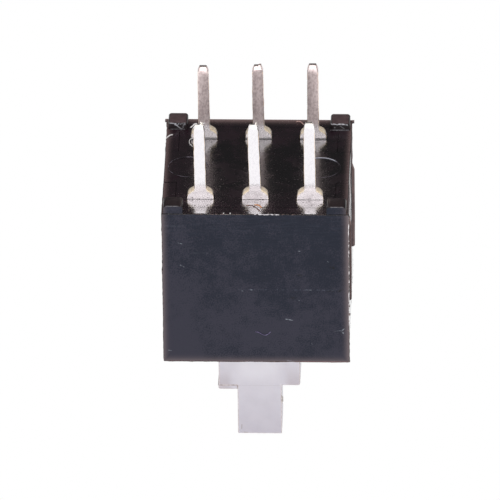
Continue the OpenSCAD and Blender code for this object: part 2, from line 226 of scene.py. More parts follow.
def cover_nylon():
    """Black nylon, moulded with a fine matt skin, which gives the eye soft bluish and brownish
    clouds, the drag lines of its mould and light scratch marks. The shading from the rim to the
    roof, the glow along its edges and ribs and the glints among its marks are painted light."""
    material, tree, shader, place = begin("black_nylon_matt_moulded", IOR=1.45,
                                          Specular_IOR_Level=0.36)
    x, y, z = put(tree, "SeparateXYZ", place).outputs
    mottle = grain(tree, place, 0.4, detail=5.0, roughness=0.6)
    cloud = grain(tree, place, 1.6)
    # The skin's real grain is finer: this is as coarse as it needs to be to show
    skin = grain(tree, place, 0.055, detail=2.0)
    # Painted shading: bluer and darker towards the rim, greyer and paler towards the roof and the
    # edge at +X
    tone = put(tree, EASE, z, 0.6 * MM, 7.8 * MM, 0.02, 0.82)
    tone = put(tree, PLUS, tone, put(tree, EASE, x, 0.5 * MM, 4.1 * MM, 0.0, 0.4))
    for clouds, low, high, share in ((cloud, 0.34, 0.66, 0.3), (mottle, 0.34, 0.66, 0.2),
                                     (skin, 0.3, 0.7, 0.6)):
        tone = put(tree, PLUS, tone, put(tree, EASE, clouds, low, high, -share, share))
    colour = put(tree, MIX, tone, "#070f22", "#292836")
    # Lines that the mould dragged along the wall, close to the rim
    drag = grain(tree, place, 0.045, (24, 24, 1))
    near_rim = put(tree, EASE, z, 0.8 * MM, 3.0 * MM, 1.0, 0.1)
    dragged = put(tree, TIMES, put(tree, EASE, drag, 0.45, 0.75), near_rim)
    colour = put(tree, MIX, put(tree, TIMES, dragged, 0.22), colour, "#3a4152")
    # The rubbed line across the front, broken; the painted glints along it are among the front
    # marks
    front = put(tree, EASE, y, -(HALF - 0.1) * MM, -(HALF - 0.2) * MM, 1.0, 0.0)
    wander = put(tree, TIMES, grain(tree, place, 0.8, (1, 1, 9)), 0.07 * MM)
    wander = put(tree, PLUS, z, wander)
    line = put(tree, TIMES, between(tree, wander, 4.40, 4.42, 0.02),
               between(tree, x, -3.9, 0.9, 0.1))
    broken = put(tree, EASE, grain(tree, place, 0.16, (1.2, 1, 0.5), detail=4.0), 0.46, 0.6)
    line = put(tree, TIMES, put(tree, TIMES, line, broken), front)
    colour = put(tree, MIX, line, colour, "#535766")
    flat = (1, 0, 1)
    uneven = put(tree, EASE, grain(tree, place, 0.07), 0.4, 0.6, 0.15, 1.0)
    dark_spots = put(tree, TIMES, marks(tree, place, flat, FRONT_DARK_SPOTS), front)
    colour = put(tree, MIX, put(tree, TIMES, dark_spots, uneven), colour, "#030307")
    # The scratches go in with painted glints, which are painted highlights
    scratches_and_glints = put(tree, TIMES, marks(tree, place, flat, FRONT_MARKS), front)
    colour = put(tree, MIX, put(tree, TIMES, scratches_and_glints, uneven), colour, "#a9b1bb")
    # A painted glow: each wall is painted paler towards its edges, where they catch the light. The
    # second nearest plane gives the edge
    glow_x = rising(tree, put(tree, ABS, x), HALF - GLOW_IN, HALF)
    glow_y = rising(tree, put(tree, ABS, y), HALF - GLOW_IN, HALF)
    glow_z = rising(tree, z, TOP_Z - GLOW_DOWN, TOP_Z)
    edge_glow = put(tree, MOST, put(tree, LEAST, glow_x, glow_y),
               put(tree, LEAST, put(tree, MOST, glow_x, glow_y), glow_z))
    colour = put(tree, MIX, edge_glow, colour, "#6d6164")
    # Painted light: the ribs stand out into the light from the side, so they are painted paler, and
    # so is the wall that they stand on
    normal_x = put(tree, "SeparateXYZ", put(tree, "TexCoord").outputs["Normal"]).outputs["X"]
    side = put(tree, EASE, put(tree, ABS, normal_x), 0.8, 0.97)
    by_ribs = put(tree, TIMES, put(tree, EASE, x, 0.0, -1 * MM),
                  put(tree, EASE, z, 5.4 * MM, 4.0 * MM))
    rib_glow = put(tree, TIMES, put(tree, EASE, x, -(HALF + 0.005) * MM, -(HALF + 0.03) * MM),
              put(tree, EASE, z, (RIM_Z + 0.2) * MM, (RIM_Z + 0.4) * MM))
    by_ribs = put(tree, TIMES, side, by_ribs)
    rib_glow = put(tree, MOST, rib_glow, put(tree, TIMES, by_ribs, 0.45))
    rib_glow = put(tree, TIMES, rib_glow, put(tree, EASE, mottle, 0.3, 0.6, 0.6, 1.0))
    colour = put(tree, MIX, rib_glow, colour, "#826c6a")
    connect(tree, shader.inputs["Base Color"], colour)
    # The side walls are smoother than the front, which boxes and fingers have dulled
    smooth = put(tree, MINUS, side, by_ribs)
    dull = put(tree, EASE, put(tree, PLUS, mottle, cloud), 0.8, 1.25, 0.38, 0.5)
    matt = put(tree, MINUS, 1.0, smooth)
    dull = put(tree, PLUS, put(tree, TIMES, dull, matt), put(tree, TIMES, smooth, 0.08))
    dull = put(tree, MOST, dull, put(tree, TIMES, by_ribs, 0.95))
    connect(tree, shader.inputs["Roughness"], dull)
    relief(tree, shader,
           (put(tree, TIMES, skin, matt), 0.0024),
           (put(tree, TIMES, mottle, matt), 0.004),
           (put(tree, TIMES, put(tree, TIMES, drag, near_rim), matt), 0.0025))
    return material


def edge_nylon():
    """The same nylon along its moulded edges, rubbed paler and rough with flash, which gives the
    eye a broken pale line round each wall, with painted highlights on the burr by the ribs and
    on a stretch of the rim."""
    material, tree, shader, place = begin("black_nylon_rubbed_edge_painted_glints", IOR=1.45)
    x, y, z = put(tree, "SeparateXYZ", place).outputs
    torn = put(tree, EASE, grain(tree, place, 0.07, detail=4.0), 0.46, 0.66)
    # The rim is cleaner in front of the feet
    clean = put(tree, TIMES, put(tree, EASE, put(tree, ABS, x), 3.1 * MM, 3.3 * MM),
                put(tree, EASE, z, 0.6 * MM, 0.5 * MM))
    torn = put(tree, TIMES, torn, put(tree, MINUS, 1.0, clean))
    colour = put(tree, MIX, torn, "#17110f", "#6a5553")
    # Along the roof's front edge the rub is even and reddish
    roof_edge = put(tree, TIMES, put(tree, EASE, z, (TOP_Z - 0.1) * MM, (TOP_Z - 0.05) * MM),
                    put(tree, EASE, x, -2.4 * MM, -1.6 * MM, 1.0, 0.25))
    colour = put(tree, MIX, roof_edge, colour, "#7c5c5a")
    # A painted highlight, near white, on the burr down the front edge by the ribs
    burr_highlight = put(tree, TIMES, put(tree, EASE, x, -(HALF - 0.1) * MM, -(HALF - 0.05) * MM),
               between(tree, z, 0.55, 6.2, 0.2))
    burr_highlight = put(tree, TIMES, put(tree, TIMES, burr_highlight, put(tree, EASE, y, 0.0, -1 * MM)),
               put(tree, EASE, grain(tree, place, 0.22, detail=4.0), 0.42, 0.58, 0.15, 1.0))
    colour = put(tree, MIX, burr_highlight, colour, "#efeaec")
    # Painted glints: a stretch of the rim is painted pale as a painted highlight
    rim = put(tree, TIMES, between(tree, x, -1.1, 0.02, 0.1), between(tree, z, 0.3, 0.44, 0.03))
    glint = put(tree, TIMES, rim, put(tree, EASE, grain(tree, place, 0.12, detail=2.0), 0.4, 0.55))
    connect(tree, shader.inputs["Base Color"], put(tree, MIX, glint, colour, "#d8d4d8"))
    # The rim over the ribs is dull
    over_ribs = put(tree, TIMES, put(tree, EASE, x, -(HALF - 0.1) * MM, -(HALF - 0.05) * MM),
                    put(tree, EASE, z, 0.6 * MM, 0.5 * MM))
    rough = put(tree, EASE, torn, 0.0, 1.0, 0.22, 0.6)
    rough = put(tree, MOST, rough, put(tree, TIMES, over_ribs, 0.9))
    connect(tree, shader.inputs["Roughness"], rough)
    relief(tree, shader, (grain(tree, place, 0.06), 0.01))
    return material


def base_nylon():
    """Black nylon, moulded in a polished mould, which gives the eye a mirror of the pins under a
    brown film of dust, with grit and fine pits."""
    material, tree, shader, place = begin("black_nylon_polished_moulded", IOR=1.55)
    x, y = put(tree, "SeparateXYZ", place).outputs[:2]
    # Moved aside, so that the pits don't lie under the dust
    elsewhere = put(tree, "VectorMath ADD", place, mm(3, 5, 0))
    dust = specks(tree, place, 0.06, 0.27)
    pits = specks(tree, elsewhere, 0.06, 0.14)
    smudge = grain(tree, place, 0.9, detail=4.0)
    film = put(tree, PLUS, put(tree, EASE, put(tree, ABS, y), 1.2 * MM, 3.6 * MM, 0.0, 0.45),
               put(tree, EASE, smudge, 0.4, 0.7, -0.1, 0.4))
    film = put(tree, PLUS, film, put(tree, EASE, x, 2.5 * MM, 3.8 * MM, 0.0, 0.5))
    normal_z = put(tree, "SeparateXYZ", put(tree, "TexCoord").outputs["Normal"]).outputs["Z"]
    under = put(tree, EASE, normal_z, -0.3, -0.9)
    film = put(tree, TIMES, film, under)
    colour = put(tree, MIX, film, "#070106", "#2c1823")
    colour = put(tree, MIX, put(tree, TIMES, dust, 0.2), colour, "#75696c")
    # A painted glow: the plate is painted paler towards its sides, and furthest in at the back
    back_glow = 0.64
    edge_glow = put(tree, MOST, rising(tree, put(tree, ABS, x), HALF - GLOW_IN, HALF),
               rising(tree, y, HALF - back_glow, HALF))
    colour = put(tree, MIX, put(tree, TIMES, edge_glow, under), colour, "#8f7776")
    connect(tree, shader.inputs["Base Color"], colour)
    rough = put(tree, PLUS, put(tree, EASE, smudge, 0.35, 0.75, 0.2, 0.32),
                put(tree, TIMES, pits, 0.16))
    connect(tree, shader.inputs["Roughness"], rough)
    relief(tree, shader, (smudge, 0.004), (pits, 0.003), (grain(tree, place, 0.08), 0.002))
    return material


# Scratches on the faces of the two far feet that look forward
FOOT_MARKS = [
    ((4.10, 0, 0.05), (3.95, 0, 0.06), 0.06, 0.5),
    ((3.95, 0, 0.06), (3.81, 0, 0.09), 0.07, 0.65),
    ((3.87, 0, 0.13), (3.75, 0, 0.17), 0.06, 0.6),
    ((3.75, 0, 0.17), (3.67, 0, 0.04), 0.04, 0.4),
    ((3.62, 0, 0.10), (3.49, 0, 0.05), 0.05, 0.45),
    ((3.49, 0, 0.05), (3.40, 0, 0.04), 0.05, 0.4),
    ((3.40, 0, 0.05), (3.41, 0, 0.13), 0.05, 0.55),
    ((3.41, 0, 0.13), (3.48, 0, 0.15), 0.05, 0.45),
    ((3.79, 0, 0.17), (3.57, 0, 0.35), 0.05, 0.5),
    ((3.57, 0, 0.35), (3.54, 0, 0.34), 0.07, 0.5),
    ((3.50, 0, 0.25), (3.48, 0, 0.25), 0.06, 0.35),
    ((4.06, 0, 0.37), (3.42, 0, 0.37), 0.05, 0.22),
    ((-3.33, 0, 0.06), (-3.50, 0, 0.05), 0.07, 0.8),
    ((-3.50, 0, 0.05), (-3.58, 0, 0.09), 0.06, 0.7),
    ((-3.58, 0, 0.09), (-3.67, 0, 0.05), 0.06, 0.8),
    ((-3.67, 0, 0.05), (-3.88, 0, 0.06), 0.08, 0.9),
    ((-3.88, 0, 0.06), (-4.05, 0, 0.09), 0.06, 0.75),
    ((-3.46, 0, 0.24), (-3.47, 0, 0.24), 0.07, 0.35),
    ((-3.72, 0, 0.14), (-3.91, 0, 0.30), 0.04, 0.3),
    ((-3.27, 0, 0.37), (-4.11, 0, 0.37), 0.06, 0.4),
]


def feet_nylon():
    """The same black nylon on the feet, with soles painted paler as painted light, most on the back
    feet, and faces scratched grey by handling.
    """
    material, tree, shader, place = begin("black_nylon_scratched_feet", IOR=1.45,
                                          Specular_IOR_Level=0.3)
    x, y, z = put(tree, "SeparateXYZ", place).outputs
    # Painted light: the soles are painted paler, most on the back feet
    dust = put(tree, TIMES, put(tree, EASE, z, 0.01 * MM, 0.03 * MM, 1.0, 0.12),
               put(tree, EASE, grain(tree, place, 0.2), 0.3, 0.7, 0.7, 1.0))
    dust = put(tree, TIMES, dust, put(tree, EASE, y, -2 * MM, 2 * MM, 0.25, 1.0))
    colour = put(tree, MIX, dust, "#0b090d", "#675456")
    uneven = put(tree, EASE, grain(tree, place, 0.08), 0.36, 0.56, 0.4, 1.0)
    facing = put(tree, TIMES, between(tree, y, 3.3, 3.46, 0.02), put(tree, EASE, z, 0.0, 0.02 * MM))
    scratches_and_glints = put(tree, TIMES, marks(tree, place, (1, 0, 1), FOOT_MARKS), facing)
    # A painted highlight along the near feet's lower front edge, in pale bluish grey
    near = put(tree, TIMES, put(tree, EASE, y, -4.16 * MM, -4.2 * MM),
               put(tree, EASE, z, 0.05 * MM, 0.02 * MM))
    near = put(tree, TIMES, near, between(tree, put(tree, ABS, x), 3.46, 4.04, 0.04))
    scratches_and_glints = put(tree, MOST, scratches_and_glints, put(tree, TIMES, near, 0.22))
    colour = put(tree, MIX, put(tree, TIMES, scratches_and_glints, uneven), colour, "#e4e4ec")
    connect(tree, shader.inputs["Base Color"], colour)
    connect(tree, shader.inputs["Roughness"], put(tree, EASE, scratches_and_glints, 0.0, 1.0, 0.3, 0.5))
    relief(tree, shader, (grain(tree, place, 0.05), 0.002))
    return material


def ring_nylon():
    """The raised lip round an ejector mark, painted greyer than the plate as a painted highlight.
    """
    material, tree, shader, place = begin("black_nylon_ring_painted_highlight", IOR=1.55)
    x, y = put(tree, "SeparateXYZ", place).outputs[:2]
    broken = put(tree, EASE, grain(tree, place, 0.3, detail=2.0), 0.4, 0.6, 0.1, 0.9)
    colour = put(tree, MIX, broken, "#0e0a0d", "#6c6470")
    # A painted highlight, near white, on the far side of one of them
    bright = put(tree, TIMES, put(tree, EASE, x, 0.0, -1 * MM),
                 put(tree, EASE, y, 0.5 * MM, 0.7 * MM))
    connect(tree, shader.inputs["Base Color"], put(tree, MIX, bright, colour, "#d2d2e0"))
    connect(tree, shader.inputs["Roughness"], put(tree, EASE, broken, 0.0, 1.0, 0.2, 0.4))
    return material


def terminal_silver(name, bright, dim, rough, kept, film, worked):
    """Silver-plated strip, rolled, which gives the eye blotches and fine lines along the pin. rough
    and kept are the roughness of pins and shoulders, film is how milky the shoulders' tarnish is at
    the plate and above it, and worked is how deep the lines are."""
    material, tree, shader, place = begin(name, Metallic=1.0)
    blotch = grain(tree, place, 0.1, (1, 1, 1.6), detail=4.0, roughness=0.65)
    colour = put(tree, MIX, put(tree, EASE, blotch, 0.36, 0.68), bright, dim)
    # The pins are duller than the shoulders, which the base has kept from handling
    x, _, z = put(tree, "SeparateXYZ", place).outputs
    shoulder = put(tree, EASE, z, -0.5 * MM, -0.2 * MM)
    colour = put(tree, MIX, shoulder, colour, "#fff6f9")
    # A golden rim follows the round shoulders, round a corner's middle this far aside and below. It
    # is brass under thin plating and a painted highlight on their round edge
    aside_x, below_z = 0.19, 0.29
    from_middle = put(tree, "Math PINGPONG", x, PITCH / 2 * MM)
    aside = put(tree, MOST, put(tree, MINUS, from_middle, aside_x * MM), 0.0)
    above = put(tree, LEAST, put(tree, MINUS, z, below_z * MM), 0.0)
    reach = put(tree, "CombineXYZ", aside, 0.0, above)
    reach = put(tree, "VectorMath LENGTH", reach)
    rim = put(tree, TIMES, put(tree, EASE, reach, 0.31 * MM, 0.37 * MM),
              put(tree, EASE, z, 0.2 * MM, 0.05 * MM))
    rim = put(tree, TIMES, rim, put(tree, EASE, aside, 0.06 * MM, 0.12 * MM))
    rim = put(tree, TIMES, rim, shoulder)
    connect(tree, shader.inputs["Base Color"], put(tree, MIX, rim, colour, "#ffeed6"))
    dull = put(tree, PLUS, put(tree, EASE, shoulder, 0.0, 1.0, rough, kept),
               put(tree, EASE, blotch, 0.3, 0.75, 0.0, 0.06))
    connect(tree, shader.inputs["Roughness"], dull)
    milky = put(tree, TIMES, shoulder, put(tree, EASE, z, 0.35 * MM, -0.25 * MM, *film))
    milky = put(tree, MOST, milky, put(tree, TIMES, rim, 0.85))
    connect(tree, shader.inputs["Metallic"], put(tree, MINUS, 1.0, milky))
    rolled = put(tree, EASE, shoulder, 0.0, 1.0, worked, 0.15)
    # Real rolling lines are finer: these are as coarse as they need to be to show
    streak = grain(tree, place, 0.03, (1, 1, 18), detail=2.0)
    relief(tree, shader, (put(tree, TIMES, streak, rolled), 0.0008),
           (put(tree, TIMES, grain(tree, place, 0.06), rolled), 0.0006))
    return material


def sheared_silver():
    """Sheared edges of the strip, where the plating is thin and the brass under it shows golden."""
    material, tree, shader, place = begin("silver_plate_sheared_edge", Metallic=1.0)
    torn = grain(tree, place, 0.12, (1, 1, 2))
    y, z = put(tree, "SeparateXYZ", place).outputs[1:]
    colour = put(tree, MIX, put(tree, EASE, torn, 0.35, 0.65), "#fff2e6", "#eccfb2")
    # Most golden round the shoulders. Painted shade makes the back row's tips grey, and a painted
    # highlight makes the front row's white
    colour = put(tree, MIX, put(tree, EASE, z, -0.68 * MM, -0.6 * MM), colour, "#ffe7c4")
    tip = put(tree, EASE, z, -3.1 * MM, -3.2 * MM)
    back_tip_shade = put(tree, TIMES, tip, put(tree, EASE, y, 0.0, 1 * MM))
    front_tip_highlight = put(tree, TIMES, tip, put(tree, EASE, y, -1 * MM, -2 * MM))
    colour = put(tree, MIX, back_tip_shade, colour, "#b0a4a0")
    connect(tree, shader.inputs["Base Color"], put(tree, MIX, front_tip_highlight, colour, "#fffaf4"))
    connect(tree, shader.inputs["Roughness"], put(tree, EASE, torn, 0.3, 0.7, 0.2, 0.4))
    return material


def plunger_nylon():
    """Natural nylon, milky and slightly translucent, with painted shading that makes it paler by
    the roof and greyer towards the tip of the post.
    """
    material, tree, shader, place = begin(
        "natural_nylon_satin", IOR=1.5, Subsurface_Weight=0.3,
        Subsurface_Radius=(0.5, 0.45, 0.42), Subsurface_Scale=0.4 * MM)
    x, _, z = put(tree, "SeparateXYZ", place).outputs
    cloud = grain(tree, place, 0.8)
    fine = grain(tree, place, 0.12)
    # Painted shading: paler by the roof, greyer towards the tip of the post
    post_shading = put(tree, PLUS, put(tree, EASE, z, TOP_Z * MM, 17 * MM),
              put(tree, EASE, cloud, 0.3, 0.7, -0.06, 0.06))
    colour = put(tree, MIX, post_shading, "#dfdbe3", "#b2acb7")
    # Painted light: the neck's middle, over the solid core behind the post, is painted whiter than
    # the thin wings near the roof, against the roof's shadow
    core = put(tree, TIMES, between(tree, x, -0.95, 0.9, 0.35),
               put(tree, EASE, z, 11.6 * MM, 10.4 * MM))
    colour = put(tree, MIX, put(tree, TIMES, core, 0.45), colour, "#f0edf3")
    # Painted shade: the wings beside the post's root are painted a little browner and darker low
    # down
    wing_shade = put(tree, TIMES, put(tree, EASE, put(tree, ABS, x), 1.1 * MM, 1.5 * MM),
               put(tree, EASE, z, 10.3 * MM, 11.4 * MM))
    colour = put(tree, MIX, put(tree, TIMES, wing_shade, 0.55), colour, "#b8adb3")
    grit = marks(tree, place, (1, 0, 1), [((0.79, 0, 13.52), (0.80, 0, 13.73), 0.06, 0.5),
                                          ((0.67, 0, 13.92), (0.54, 0, 13.94), 0.08, 0.4),
                                          ((0.95, 0, 11.41), (-1.03, 0, 11.41), 0.04, 0.12)])
    connect(tree, shader.inputs["Base Color"], put(tree, MIX, grit, colour, "#8d8078"))
    connect(tree, shader.inputs["Roughness"], put(tree, EASE, fine, 0.3, 0.7, 0.34, 0.46))
    relief(tree, shader, (fine, 0.002), (cloud, 0.003))
    return material


def plunger_edge():
    """The plunger's moulded edges, which have picked up a faint brown grime."""
    material, tree, shader, place = begin("natural_nylon_grimy_edge", IOR=1.5, Roughness=0.45)
    grime = grain(tree, place, 0.15)
    colour = put(tree, MIX, put(tree, EASE, grime, 0.35, 0.65), "#dbd2d4", "#c2b6b6")
    connect(tree, shader.inputs["Base Color"], colour)
    relief(tree, shader, (grime, 0.006))
    return material


def spring_metal(name, colour, rough, depth=0.0012):
    """Drawn or rolled spring metal, which gives the eye fine lines along Z. They are depth
    millimetres deep, and as coarse as they need to be to show."""
    material, tree, shader, place = begin(name, Metallic=1.0, Base_Color=colour)
    lines = grain(tree, place, 0.02, (1, 1, 20), detail=2.0)
    blotch = grain(tree, place, 0.4)
    dull = put(tree, EASE, blotch, 0.3, 0.7, rough, rough + 0.12)
    connect(tree, shader.inputs["Roughness"], dull)
    relief(tree, shader, (lines, depth))
    return material


def fibre_material(name, colour, other):
    """Lint or a crumb: soft and matt, paler and darker along its length."""
    material, tree, shader, place = begin(name, Roughness=0.6, Sheen_Weight=0.3)
    tone = grain(tree, place, 0.12, detail=2.0)
    along = put(tree, MIX, put(tree, EASE, tone, 0.4, 0.6), colour, other)
    connect(tree, shader.inputs["Base Color"], along)
    return material


# ---- Shaping of meshes ----

def only(piece):
    bpy.ops.object.select_all(action="DESELECT")
    piece.select_set(True)
    bpy.context.view_layer.objects.active = piece


def edit(piece, mode="EDGE"):
    only(piece)
    bpy.ops.object.mode_set(mode="EDIT")
    bpy.ops.mesh.select_mode(type=mode)


def done():
    bpy.ops.object.mode_set(mode="OBJECT")


def worked_copy(node, name, body, slot, *materials):
    """A piece for a node: its mesh copied, merged and cleared of the lines inside flat faces."""
    piece = bpy.data.objects.new(name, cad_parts[node].data.copy())
    piece.data.name = name
    bpy.context.collection.objects.link(piece)
    edit(piece, "VERT")
    bpy.ops.mesh.customdata_custom_splitnormals_clear()
    bpy.ops.mesh.select_all(action="SELECT")
    bpy.ops.mesh.remove_doubles(threshold=1e-7)
    bpy.ops.mesh.dissolve_limited(angle_limit=math.radians(0.3), delimit={"NORMAL"})
    bpy.ops.mesh.select_all(action="DESELECT")
    done()
    piece.data.materials.clear()
    for material in materials:
        piece.data.materials.append(material)
    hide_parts(node)
    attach(piece, body)
    return piece


def soften(piece, width, wanted, segments=2, material=1):
    """Bevels the sharp edges that wanted() accepts by their middle, in millimetres, and way."""
    sharp = math.radians(25)
    edit(piece)
    mesh = bmesh.from_edit_mesh(piece.data)
    for edge in mesh.edges:
        middle = (edge.verts[0].co + edge.verts[1].co) / 2 / MM
        way = (edge.verts[1].co - edge.verts[0].co).normalized()
        angle = edge.calc_face_angle(0)
        edge.select = angle > sharp and bool(wanted(middle, way))
    mesh.select_flush_mode()
    bmesh.update_edit_mesh(piece.data)
    bpy.ops.mesh.bevel(offset=width * MM, segments=segments, affect="EDGES", clamp_overlap=False,
                       material=material)
    bpy.ops.mesh.select_all(action="DESELECT")
    done()


def notch_along(piece, axis, low, high, step, wanted):
    """Cuts the faces that wanted() accepts crosswise every step, so that they can be roughened."""
    normal = Vector([1.0 if i == axis else 0.0 for i in range(3)])
    edit(piece, "FACE")
    at = low
    while at < high:
        mesh = bmesh.from_edit_mesh(piece.data)
        for face in mesh.faces:
            face.select = wanted(face)
        mesh.select_flush_mode()
        bmesh.update_edit_mesh(piece.data)
        bpy.ops.mesh.bisect(plane_co=normal * at * MM, plane_no=normal, threshold=1e-8)
        at += step
    bpy.ops.mesh.select_all(action="DESELECT")
    done()


def roughen(piece, size, depth, wanted, seed, along=(1, 1, 1)):
    """Moves the vertices that wanted() accepts by noise, as flash and handling leave an edge."""
    # Each seed reads the noise in a place of its own
    shift = Vector((seed * 7.3, seed * 3.1, seed * 5.7))
    for vertex in piece.data.vertices:
        if wanted(vertex.co / MM):
            push = noise.noise_vector(vertex.co / (size * MM) + shift, noise_basis="PERLIN_NEW")
            vertex.co += push * Vector(along) * depth * MM


def even_shading(piece, angle=30):
    """Smooth across small bevels and flat on flat faces."""
    only(piece)
    bpy.ops.object.shade_smooth_by_angle(angle=math.radians(angle))
    piece.modifiers.new("even", "WEIGHTED_NORMAL").keep_sharp = True
    bpy.ops.object.modifier_apply(modifier="even")


def fibre(points, thick, material):
    """A thread of lint along a smooth path through places in millimetres."""
    bpy.ops.object.select_all(action="DESELECT")
    bpy.ops.curve.primitive_nurbs_path_add()
    thread = bpy.context.active_object
    thread.data.splines.clear()
    spline = thread.data.splines.new("NURBS")
    spline.points.add(len(points) - 1)
    for point, place in zip(spline.points, points):
        point.co = (*mm(*place), 1)
    spline.order_u = 3
    spline.use_endpoint_u = True
    spline.resolution_u = 6
    thread.data.bevel_depth = thick / 2 * MM
    thread.data.bevel_resolution = 2
    thread.data.use_fill_caps = True
    bpy.ops.object.convert(target="MESH")
    thread.data.materials.clear()
    thread.data.materials.append(material)
    return thread


def chip(material):
    """A ragged crumb of plastic or plaster dust, 1 mm across, that stands at the origin."""
    bpy.ops.object.select_all(action="DESELECT")
    bpy.ops.mesh.primitive_ico_sphere_add(subdivisions=3, radius=0.5 * MM)
    crumb = bpy.context.active_object
    ragged, lump = 0.7, 0.3
    for vertex in crumb.data.vertices:
        vertex.co *= 1 + ragged * noise.noise(vertex.co / (lump * MM))
    crumb.data.materials.append(material)
    return crumb


def scatter(crumb, places):
    """Copies of one crumb, each at a place, with its three sizes in millimetres."""
    copies = []
    for place, sizes in places:
        copy = bpy.data.objects.new("crumb", crumb.data.copy())
        bpy.context.collection.objects.link(copy)
        copy.data.transform(Matrix.Translation(mm(*place)) @ Matrix.Diagonal((*sizes, 1)))
        copies.append(copy)
    bpy.data.objects.remove(crumb)
    return copies


def gather(name, body, pieces):
    """Joins small pieces of one kind into one."""
    bpy.ops.object.select_all(action="DESELECT")
    for piece in pieces:
        piece.select_set(True)
    bpy.context.view_layer.objects.active = pieces[0]
    bpy.ops.object.join()
    pieces[0].name = pieces[0].data.name = name
    bpy.ops.object.transform_apply()
    even_shading(pieces[0], 60)
    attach(pieces[0], body)


# ---- Stage: camera, lamps, world and floor ----

# The camera looks up at the underside from in front, upside down, from far away
camera_data = bpy.data.cameras.new("camera")
camera_data.sensor_width = 36
camera_data.angle = math.radians(1.4507)
camera_data.clip_start, camera_data.clip_end = 0.05, 20
camera = bpy.data.objects.new("camera", camera_data)
bpy.context.collection.objects.link(camera)
azimuth, elevation, roll = [math.radians(v) for v in (-1.96, -30.59, -0.624)]
# The middle of the view lies on the front wall
target = mm(0.2188, -HALF, 2.2686)
DISTANCE = 900
back = Vector((math.sin(azimuth) * math.cos(elevation), -math.cos(azimuth) * math.cos(elevation),
               math.sin(elevation)))
camera.location = target + back * DISTANCE * MM
camera.rotation_mode = "QUATERNION"
up = Vector((0, 0, -1))
up = (up - back * up.dot(back)).normalized()
right = up.cross(back)
turned_right = right * math.cos(roll) + up * math.sin(roll)
turned_up = up * math.cos(roll) - right * math.sin(roll)
camera.rotation_quaternion = Matrix((turned_right, turned_up, back)).transposed().to_quaternion()
bpy.context.scene.camera = camera
bpy.context.scene.view_settings.view_transform = "Standard"


def softbox(name, direction, distance, size, radiance):
    """A round lamp, size across, that faces the body's middle, with its brightness as radiance."""
    lamp = bpy.data.lights.new(name, "AREA")
    lamp.shape = "DISK"
    lamp.size = size * MM
    lamp.energy = radiance * math.pi * math.pi * (size * MM / 2) ** 2
    holder = bpy.data.objects.new(name, lamp)
    body_middle = mm(0, 0, 5)
    holder.location = body_middle + Vector(direction).normalized() * distance * MM
    holder.rotation_mode = "QUATERNION"
    holder.rotation_quaternion = Vector(direction).to_track_quat("Z", "Y")
    holder.visible_camera = False
    bpy.context.collection.objects.link(holder)
    return holder


# The ring light gives the glints on silver and gloss, and the fill light the soft shade
softbox("ring_light", back, 200, 85, 9.5).visible_diffuse = False
softbox("fill_light", (0.35, -0.93, -0.12), 200, 120, 3.6).visible_glossy = False
softbox("top_light", (-0.5, 0.55, 0.8), 200, 90, 3.0)


# Which way the black flag lies from the switch
FLAG_WAY = (0, 0.84, -0.54)


def white_studio():
    """White all round, with a black flag below and behind that keeps the underside dark."""
    world = bpy.data.worlds.new("white_studio")
    world.use_nodes = True
    tree = world.node_tree
    background = tree.nodes["Background"]
    way = put(tree, "TexCoord").outputs["Generated"]
    flagged = put(tree, "VectorMath DOT_PRODUCT", way, FLAG_WAY)
    shade = put(tree, EASE, flagged, 0.45, 0.85, 1.0, 0.12)
    ray = put(tree, "LightPath").outputs
    mirrored = put(tree, MOST, ray["Is Glossy Ray"], ray["Is Transmission Ray"])
    lit = put(tree, TIMES, shade, put(tree, "MapRange", mirrored, 0.0, 1.0, 0.8, 1.0))
    seen = put(tree, "Mix FLOAT", ray["Is Camera Ray"], lit, 1.0)
    connect(tree, background.inputs["Strength"], seen)
    connect(tree, background.inputs["Color"], "#ffffff")
    bpy.context.scene.world = world


white_studio()


def pale_floor():
    """A pale floor at the tips of the pins, which shows from above and lets light up from below."""
    bpy.ops.object.select_all(action="DESELECT")
    bpy.ops.mesh.primitive_plane_add(size=6, location=mm(0, 0, pin_low))
    floor = bpy.context.active_object
    floor.name = "floor"
    bpy.ops.object.transform_apply(location=True)
    material, tree, shader, _ = begin("pale_paper", Base_Color="#ece9e6", Roughness=0.9)
    under = put(tree, "NewGeometry").outputs["Backfacing"]
    both = put(tree, "MixShader", under, shader, put(tree, "BsdfTransparent"))
    connect(tree, tree.nodes["Material Output"].inputs["Surface"], both)
    floor.data.materials.append(material)
    for rays in ("glossy", "diffuse", "transmission", "shadow"):
        setattr(floor, "visible_" + rays, False)


pale_floor()

# ---- Pieces ----

# Finishes that the cover and the base share
wall_skin, base_gloss = cover_nylon(), base_nylon()


